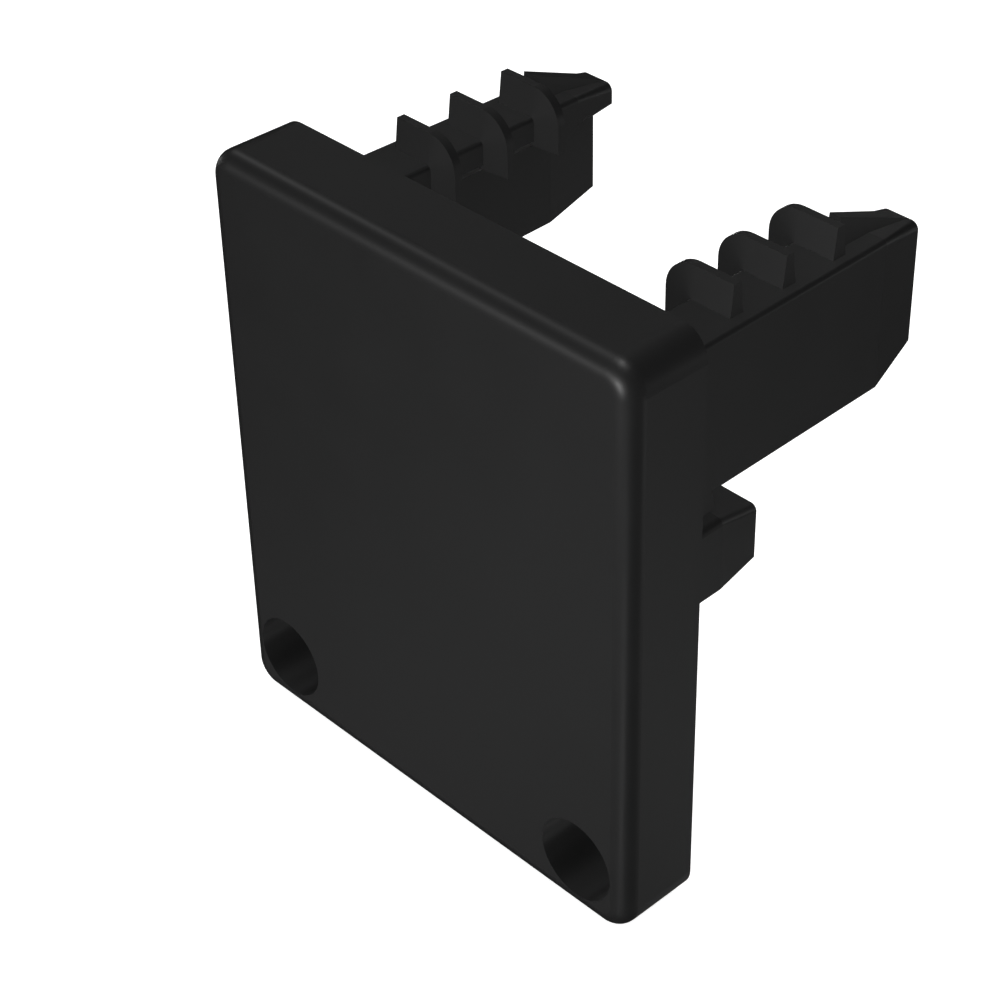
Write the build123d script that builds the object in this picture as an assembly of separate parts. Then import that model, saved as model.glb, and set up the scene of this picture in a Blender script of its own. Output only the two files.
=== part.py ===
from build123d import *
import os
from math import radians, tan

# One moulded end cap for a mounting rail. Millimetres, +Z up.
# The origin is the middle of the plate's back, which seats on the cut end of the rail.
# The plate lies in front of it, towards -Y. Two legs and two lugs reach into the rail, towards +Y.
# Insets are measured from the plate's side edge or top edge inwards, so they hold for both halves.

# Plate
PLATE_WIDTH = 36.0
PLATE_HEIGHT = 42.0
PLATE_THICKNESS = 6.0
PLATE_CORNER_RADIUS = 2.0
FRONT_EDGE_RADIUS = 1.25

# Screw holes in the two lower corners
HOLE_DIAMETER = 5.9
HOLE_INSET = 4.2

# Legs: a thick head above a thin web, straight behind the plate and then tapered to the tip
LEG_LENGTH = 22.75
TIP_LENGTH = 3.75
LEG_SIDE_INSET = 2.65
LEG_TOP_INSET = 3.41
LEG_HEIGHT = 10.44
HEAD_WIDTH = 4.35
HEAD_DEPTH = 1.64
UNDERSIDE_DROP = 2.2
WEB_THICKNESS = 2.0
SIDE_DRAFT = 1.0
TIP_TAPER = 8.2
TIP_TOP_DROP = 0.5
TIP_BOTTOM_RISE = 1.5
TIP_WEB_THICKNESS = 1.18
TIP_HEAD_DEPTH = 1.45
TIP_UNDERSIDE_DROP = 1.55
HEAD_EDGE_RADIUS = 0.3
TIP_EDGE_RADIUS = 0.55

# Press fins that wrap round the top and the inner side of each head
FIN_COUNT = 3
FIRST_FIN = 6.5
FIN_PITCH = 4.5
FIN_HEIGHT = 2.15
FIN_SIDE_HEIGHT = 2.01
FIN_CORNER_RADIUS = 2.22
FIN_RIM = 0.6
FIN_DRAFT = 6.7
FIN_SETBACK = 1.08
FIN_LIMB = 2.0

# Lead-in wedge on the head, from behind the last fin down to the end of the tip
WEDGE_START = 16.45
WEDGE_HEIGHT = 2.02
WEDGE_WIDTH = 0.86
WEDGE_DRAFT = 5.0
WEDGE_SIDE_INSET = 5.01

# Gusset under the head, from behind the last fin to the tip
GUSSET_TOP_GAP = 0.69
GUSSET_REACH = 5.6
GUSSET_KEEL_REACH = 2.43
GUSSET_KEEL_DROP = 2.18
GUSSET_FRONT_DROP = 1.35
GUSSET_FOOT_REACH = 3.0
GUSSET_FOOT_DROP = 1.9

# Lower lugs and the rib that ties each one to its leg
LUG_LENGTH = 8.4
LUG_TIP_LENGTH = 3.5
LUG_WIDTH = 4.35
LUG_HEIGHT = 5.25
LUG_GAP = 2.68
LUG_TIP_SIDE = 0.4
LUG_TIP_TOP = 0.95
LUG_TIP_BOTTOM = 0.38
LUG_EDGE_RADIUS = 0.45
RIB_INSET = 3.8
RIB_THICKNESS = 1.2
RIB_LENGTH = 5.45
RIB_SETBACK = 0.9

# How far a piece of the moulding runs into the one that carries it
ROOT = 1.0

# Places that follow from the sizes
side = PLATE_WIDTH / 2
head_top = PLATE_HEIGHT / 2 - LEG_TOP_INSET
head_inner = side - LEG_SIDE_INSET - HEAD_WIDTH
leg_bottom = head_top - LEG_HEIGHT
break_depth = LEG_LENGTH - TIP_LENGTH
tip_narrowing = TIP_LENGTH * tan(radians(TIP_TAPER))
lug_top = leg_bottom - LUG_GAP
lug_break = LUG_LENGTH - LUG_TIP_LENGTH


def standing(depth, sketch):
    """A flat outline in X and Z, stood up at a depth behind the seat."""
    return Plane.XZ.offset(-depth) * sketch


def outer_face(depth):
    """X of the leg's outer face, which leans in by the moulding draft."""
    return side - LEG_SIDE_INSET - depth * tan(radians(SIDE_DRAFT))


def leg_section(depth, outer, inner, top, head_depth, drop, web, bottom, edge_radius):
    """The leg cut across: the head, its sloped underside and the web below it."""
    web_inner = outer - web
    head_bottom = top - head_depth
    outline = Polyline(
        (outer, top),
        (inner, top),
        (inner, head_bottom),
        (web_inner, head_bottom - drop),
        (web_inner, bottom),
        (outer, bottom),
        close=True,
    )
    face = make_face(outline)
    top_corners = face.vertices().group_by(Axis.Y)[-1]
    return standing(depth, fillet(top_corners, edge_radius))


def leg():
    """Head and web as ruled lofts, from inside the plate to the start of the tip and on to its end."""
    draft = tan(radians(SIDE_DRAFT))
    straight = [
        leg_section(
            depth,
            outer_face(depth),
            head_inner,
            head_top,
            HEAD_DEPTH,
            UNDERSIDE_DROP,
            WEB_THICKNESS - 2 * depth * draft,
            leg_bottom,
            HEAD_EDGE_RADIUS,
        )
        for depth in (-ROOT, break_depth)
    ]
    tip = leg_section(
        LEG_LENGTH,
        outer_face(break_depth) - tip_narrowing,
        head_inner + tip_narrowing,
        head_top - TIP_TOP_DROP,
        TIP_HEAD_DEPTH,
        TIP_UNDERSIDE_DROP,
        TIP_WEB_THICKNESS,
        leg_bottom + TIP_BOTTOM_RISE,
        TIP_EDGE_RADIUS,
    )
    return loft(straight, ruled=True) + loft([straight[-1], tip], ruled=True)


def fin(depth):
    """A tapered blade over the top of the head, round its inner corner and down its inner side.
    Its corner turns about a line just inside the head."""
    rim = FIN_RIM / 2
    foot = rim + FIN_CORNER_RADIUS * tan(radians(FIN_DRAFT))
    centre_x = head_inner + FIN_CORNER_RADIUS - FIN_SIDE_HEIGHT
    centre_z = head_top + FIN_HEIGHT - FIN_CORNER_RADIUS
    blade = make_face(
        Polyline(
            (depth - foot, centre_z),
            (depth + foot, centre_z),
            (depth + rim, centre_z + FIN_CORNER_RADIUS),
            (depth - rim, centre_z + FIN_CORNER_RADIUS),
            close=True,
        )
    )
    rooted = blade + Pos(depth, centre_z - ROOT / 2) * Rectangle(2 * foot, ROOT)
    corner = Plane.YZ.offset(centre_x)
    turn = Axis((centre_x, 0, centre_z), (0, -1, 0))
    outer_end = outer_face(0) - FIN_SETBACK
    limb_length = FIN_LIMB + centre_z - head_top
    top_blade = extrude(corner * rooted, outer_end - centre_x)
    corner_blade = revolve(corner * blade, turn, 90)
    limb = extrude(corner * rooted, -limb_length).rotate(turn, 90)
    return top_blade + corner_blade + limb


def wedge():
    """A narrow ramp with leaning walls that guides the leg in behind the last fin."""
    centre = side - WEDGE_SIDE_INSET
    ridge = WEDGE_WIDTH / 2
    foot = ridge + (WEDGE_HEIGHT + ROOT) * tan(radians(WEDGE_DRAFT))
    across = make_face(
        Polyline(
            (centre - foot, head_top - ROOT),
            (centre + foot, head_top - ROOT),
            (centre + ridge, head_top + WEDGE_HEIGHT),
            (centre - ridge, head_top + WEDGE_HEIGHT),
            close=True,
        )
    )
    along = make_face(
        Polyline(
            (WEDGE_START, head_top - ROOT),
            (WEDGE_START, head_top + WEDGE_HEIGHT),
            (LEG_LENGTH, head_top - TIP_TOP_DROP),
            (LEG_LENGTH, head_top - ROOT),
            close=True,
        )
    )
    prism = extrude(standing(WEDGE_START, across), WEDGE_START - LEG_LENGTH)
    return prism & extrude(Plane.YZ.offset(centre) * along, 2 * foot, both=True)


def gusset():
    """A filled corner flush with the head's inner side, raked up from its keel to the fin and to the tip.
    In the tip it narrows as the head does."""
    start = FIRST_FIN + (FIN_COUNT - 1) * FIN_PITCH
    web_inside = outer_face(start) - WEB_THICKNESS / 2
    top = head_top - GUSSET_TOP_GAP
    front = Vector(head_inner, start, top - GUSSET_FRONT_DROP)
    keel = Vector(head_inner, start + GUSSET_KEEL_REACH, top - GUSSET_KEEL_DROP)
    back = Vector(head_inner, start + GUSSET_REACH, top)
    foot = keel + Vector(web_inside - head_inner, GUSSET_FOOT_REACH, -GUSSET_FOOT_DROP)
    block = Pos(head_inner, start, top) * Box(
        web_inside - head_inner,
        GUSSET_REACH,
        GUSSET_KEEL_DROP + GUSSET_FOOT_DROP,
        align=(Align.MIN, Align.MIN, Align.MAX),
    )
    for near, far in ((front, keel), (keel, back)):
        rake = Plane(origin=keel, x_dir=far - near, z_dir=(foot - keel).cross(far - near))
        block = split(block, bisect_by=rake, keep=Keep.TOP)
    narrowing = Vector(1, -tan(radians(TIP_TAPER)), 0)
    return split(block, bisect_by=Plane((head_inner, break_depth, 0), z_dir=narrowing), keep=Keep.TOP)


def lug_section(depth, outer, inner, top, bottom):
    """The lug cut across, with its two upper edges rounded."""
    outline = make_face(
        Polyline((outer, top), (inner, top), (inner, bottom), (outer, bottom), close=True)
    )
    top_corners = outline.vertices().group_by(Axis.Y)[-1]
    return standing(depth, fillet(top_corners, LUG_EDGE_RADIUS))


def lug():
    """The short block below the leg, tapered on all sides at its end."""
    lug_bottom = lug_top - LUG_HEIGHT
    straight = [
        lug_section(
            depth,
            outer_face(depth),
            side - LEG_SIDE_INSET - LUG_WIDTH,
            lug_top,
            lug_bottom,
        )
        for depth in (-ROOT, lug_break)
    ]
    tip = lug_section(
        LUG_LENGTH,
        outer_face(lug_break) - LUG_TIP_SIDE,
        side - LEG_SIDE_INSET - LUG_WIDTH + LUG_TIP_SIDE,
        lug_top - LUG_TIP_TOP,
        lug_bottom + LUG_TIP_BOTTOM,
    )
    return loft(straight, ruled=True) + loft([straight[-1], tip], ruled=True)


def rib():
    """The wall that ties the lug to the leg above it, set in from their outer faces."""
    outline = make_face(
        Polyline(
            (-ROOT, lug_top - ROOT),
            (RIB_LENGTH, lug_top - ROOT),
            (RIB_LENGTH, lug_top),
            (RIB_LENGTH - RIB_SETBACK, leg_bottom),
            (RIB_LENGTH - RIB_SETBACK, leg_bottom + ROOT),
            (-ROOT, leg_bottom + ROOT),
            close=True,
        )
    )
    return extrude(Plane.YZ.offset(side - RIB_INSET) * outline, -RIB_THICKNESS)


def plate():
    """The cover plate, with rounded corners, a rounded front edge and two screw holes."""
    outline = RectangleRounded(PLATE_WIDTH, PLATE_HEIGHT, PLATE_CORNER_RADIUS)
    body = extrude(standing(0, outline), PLATE_THICKNESS)
    front = body.faces().sort_by(Axis.Y)[0]
    body = fillet(front.edges(), FRONT_EDGE_RADIUS)
    hole = extrude(standing(0, Circle(HOLE_DIAMETER / 2)), PLATE_THICKNESS)
    height = HOLE_INSET - PLATE_HEIGHT / 2
    for centre in (HOLE_INSET - side, side - HOLE_INSET):
        body -= Pos(centre, 0, height) * hole
    return body


half = leg() + wedge() + gusset() + lug() + rib()
for place in range(FIN_COUNT):
    half += fin(FIRST_FIN + place * FIN_PITCH)

end_cap = plate() + half + half.mirror(Plane.YZ)

os.makedirs("parts", exist_ok=True)
export_step(end_cap, "parts/end_cap.step")
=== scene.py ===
"""A moulded profile end cap in satin black plastic, standing on a pale studio floor."""

from math import cos, pi, radians, sin

import bpy
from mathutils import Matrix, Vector


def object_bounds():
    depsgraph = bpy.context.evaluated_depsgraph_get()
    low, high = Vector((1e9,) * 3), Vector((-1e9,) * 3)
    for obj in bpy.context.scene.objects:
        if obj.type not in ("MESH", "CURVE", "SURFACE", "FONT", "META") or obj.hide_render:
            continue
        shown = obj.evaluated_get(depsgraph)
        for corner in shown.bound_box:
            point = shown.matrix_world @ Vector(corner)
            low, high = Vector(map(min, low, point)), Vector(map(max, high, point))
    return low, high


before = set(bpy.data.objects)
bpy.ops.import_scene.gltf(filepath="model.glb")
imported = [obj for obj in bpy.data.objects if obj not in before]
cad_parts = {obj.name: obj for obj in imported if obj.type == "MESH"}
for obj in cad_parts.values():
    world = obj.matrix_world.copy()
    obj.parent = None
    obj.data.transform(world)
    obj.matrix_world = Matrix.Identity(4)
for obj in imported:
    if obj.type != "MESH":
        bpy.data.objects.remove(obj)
cad_low, cad_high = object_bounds()

# Camera, in metres and pixels of the square view
VIEW_SIZE = 1000
EYE = Vector((0.093368, -0.085145, 0.093376))
VIEW_DIRECTION = Vector((-1, 1, -1)).normalized()
FOCAL_PIXELS = 2507
OPTICAL_CENTRE = (580.45, 453.35)
SENSOR = 36.0

# Moulded plastic
PLASTIC_COLOUR = (0.0070, 0.0070, 0.0071)
PLASTIC_CLOUDING = 0.12
PLASTIC_SPECULAR = 0.5
PLASTIC_ROUGHNESS = 0.42
ROUGHNESS_SPREAD = 0.05
GRAIN_SCALE = 5200
GRAIN_STRENGTH = 0.1
GRAIN_DEPTH = 0.00002
CLOUD_SCALE = 160

# Studio: even white from all round, and soft lamps by azimuth, elevation, distance and irradiance
WORLD_STRENGTH = 1.0
FLOOR_WIDTH = 6
FLOOR_GAP = 0.00005
FLOOR_GLOW = 0.6
LAMP_SPREAD = 0.12
# All but the last three rows come from a least-squares fit to the greys of the photograph
LAMPS = {
    "front": (-86, 2, 0.39, 1.515),
    "front_left": (-117, 9, 0.9, 0.286),
    "front_low": (-134, -40, 0.9, 0.027),
    "front_right_low": (-53, -36, 0.1, 0.091),
    "top": (-74, 86, 0.12, 0.583),
    "top_left": (171, 44, 0.45, 0.136),
    "back_left": (121, 27, 0.9, 0.039),
    "left_back": (140, 20, 0.9, 0.02),
    "back": (109, -5, 0.9, 0.126),
    "back_low": (85, -50, 0.9, 0.095),
    "back_right": (53, -8, 0.33, 0.089),
    "back_right_low": (35, -35, 0.9, 0.054),
    "behind": (90, -12, 0.9, 0.12),
    "behind_left": (135, -20, 0.9, 0.08),
    "left": (180, -5, 0.9, 0.08),
}


class Socket:
    """A node's output in an expression: each operator adds the Math node that works it out."""

    def __init__(self, tree, link):
        self.tree = tree
        self.link = link

    def math(self, operation, *values):
        return add_node(self.tree, "ShaderNodeMath", {"operation": operation}, dict(enumerate(values)))

    def __add__(self, other):
        return self.math("ADD", self, other)

    def __radd__(self, other):
        return self.math("ADD", other, self)

    def __mul__(self, other):
        return self.math("MULTIPLY", self, other)

    def __rmul__(self, other):
        return self.math("MULTIPLY", other, self)


def add_node(tree, kind, settings=None, inputs=None, output=0):
    """Adds a node of a type, with its settings first and then the values or links of its sockets.
    A node that ends a tree has no output and gives None."""
    node = tree.nodes.new(kind)
    for name, value in (settings or {}).items():
        setattr(node, name, value)
    for key, value in (inputs or {}).items():
        if isinstance(value, Socket):
            tree.links.new(value.link, node.inputs[key])
        else:
            node.inputs[key].default_value = value
    return Socket(tree, node.outputs[output]) if node.outputs else None


def new_material(name):
    """An empty node material and its tree."""
    material = bpy.data.materials.new(name)
    material.use_nodes = True
    material.node_tree.nodes.clear()
    return material, material.node_tree


def moulded_plastic():
    """Near-black plastic from a finely spark-eroded tool, a little uneven in colour and gloss."""
    material, tree = new_material("satin_black_plastic")
    place = add_node(tree, "ShaderNodeTexCoord", output="Object")
    grain = add_node(
        tree,
        "ShaderNodeTexNoise",
        {"noise_dimensions": "3D"},
        {"Vector": place, "Scale": GRAIN_SCALE, "Detail": 2, "Roughness": 0.6},
    )
    cloud = add_node(
        tree,
        "ShaderNodeTexNoise",
        {"noise_dimensions": "3D"},
        {"Vector": place, "Scale": CLOUD_SCALE, "Detail": 3, "Roughness": 0.55},
    )
    colour = add_node(
        tree,
        "ShaderNodeMix",
        {"data_type": "RGBA"},
        {
            "Factor": cloud,
            "A": tuple((1 - PLASTIC_CLOUDING) * c for c in PLASTIC_COLOUR) + (1,),
            "B": tuple((1 + PLASTIC_CLOUDING) * c for c in PLASTIC_COLOUR) + (1,),
        },
        output="Result",
    )
    bump = add_node(
        tree,
        "ShaderNodeBump",
        {},
        {"Strength": GRAIN_STRENGTH, "Distance": GRAIN_DEPTH, "Height": grain},
    )
    shader = add_node(
        tree,
        "ShaderNodeBsdfPrincipled",
        {},
        {
            "Base Color": colour,
            "Roughness": PLASTIC_ROUGHNESS + ROUGHNESS_SPREAD * cloud,
            "Specular IOR Level": PLASTIC_SPECULAR,
            "Normal": bump,
        },
    )
    add_node(tree, "ShaderNodeOutputMaterial", {}, {"Surface": shader})
    return material


def floor_paint():
    """Plain pale studio paper, lit through from below."""
    material, tree = new_material("pale_paper")
    shader = add_node(
        tree,
        "ShaderNodeBsdfPrincipled",
        {},
        {
            "Base Color": (0.8, 0.8, 0.8, 1),
            "Roughness": 0.9,
            "Specular IOR Level": 0.0,
            "Emission Color": (1, 1, 1, 1),
            "Emission Strength": FLOOR_GLOW,
        },
    )
    add_node(tree, "ShaderNodeOutputMaterial", {}, {"Surface": shader})
    return material


def make_camera():
    """The camera where the photograph was taken from, without roll and with its lens moved off the middle."""
    data = bpy.data.cameras.new("camera")
    data.sensor_width = SENSOR
    data.lens = SENSOR * FOCAL_PIXELS / VIEW_SIZE
    data.shift_x = 0.5 - OPTICAL_CENTRE[0] / VIEW_SIZE
    data.shift_y = OPTICAL_CENTRE[1] / VIEW_SIZE - 0.5
    data.clip_start = 0.01
    data.clip_end = 10
    camera = bpy.data.objects.new("camera", data)
    camera.location = EYE
    camera.rotation_mode = "QUATERNION"
    camera.rotation_quaternion = VIEW_DIRECTION.to_track_quat("-Z", "Y")
    bpy.context.scene.collection.objects.link(camera)
    bpy.context.scene.camera = camera


def soft_lamp(name, azimuth, elevation, distance, irradiance):
    """A square soft lamp turned to the origin, without a hard shadow."""
    across = cos(radians(elevation))
    place = distance * Vector(
        (
            across * cos(radians(azimuth)),
            across * sin(radians(azimuth)),
            sin(radians(elevation)),
        )
    )
    data = bpy.data.lights.new(name, "AREA")
    data.size = LAMP_SPREAD * distance
    data.energy = irradiance * pi * distance**2
    data.use_shadow = False
    data.cycles.use_multiple_importance_sampling = False
    lamp = bpy.data.objects.new(name, data)
    lamp.location = place
    lamp.rotation_mode = "QUATERNION"
    lamp.rotation_quaternion = (-place).to_track_quat("-Z", "Y")
    lamp.visible_camera = False
    bpy.context.scene.collection.objects.link(lamp)


def make_floor():
    """A wide pale floor just under the plate's lower edge."""
    bpy.ops.mesh.primitive_plane_add(size=FLOOR_WIDTH, location=(0, 0, cad_low.z - FLOOR_GAP))
    floor = bpy.context.object
    floor.name = "floor"
    floor.data.materials.append(floor_paint())
    floor.visible_glossy = False


def make_world():
    """Even white light from all round, without reflections of its own."""
    world = bpy.data.worlds.new("studio")
    bpy.context.scene.world = world
    world.use_nodes = True
    tree = world.node_tree
    tree.nodes.clear()
    light = add_node(
        tree,
        "ShaderNodeBackground",
        {},
        {"Color": (1, 1, 1, 1), "Strength": WORLD_STRENGTH},
    )
    add_node(tree, "ShaderNodeOutputWorld", {}, {"Surface": light})
    world.cycles_visibility.glossy = False


make_camera()
make_world()
make_floor()
for lamp_name, lamp_setting in LAMPS.items():
    soft_lamp(lamp_name, *lamp_setting)
bpy.context.scene.view_settings.view_transform = "Standard"

end_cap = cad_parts["end_cap"]
plastic = moulded_plastic()
for slot in end_cap.material_slots:
    slot.material = plastic
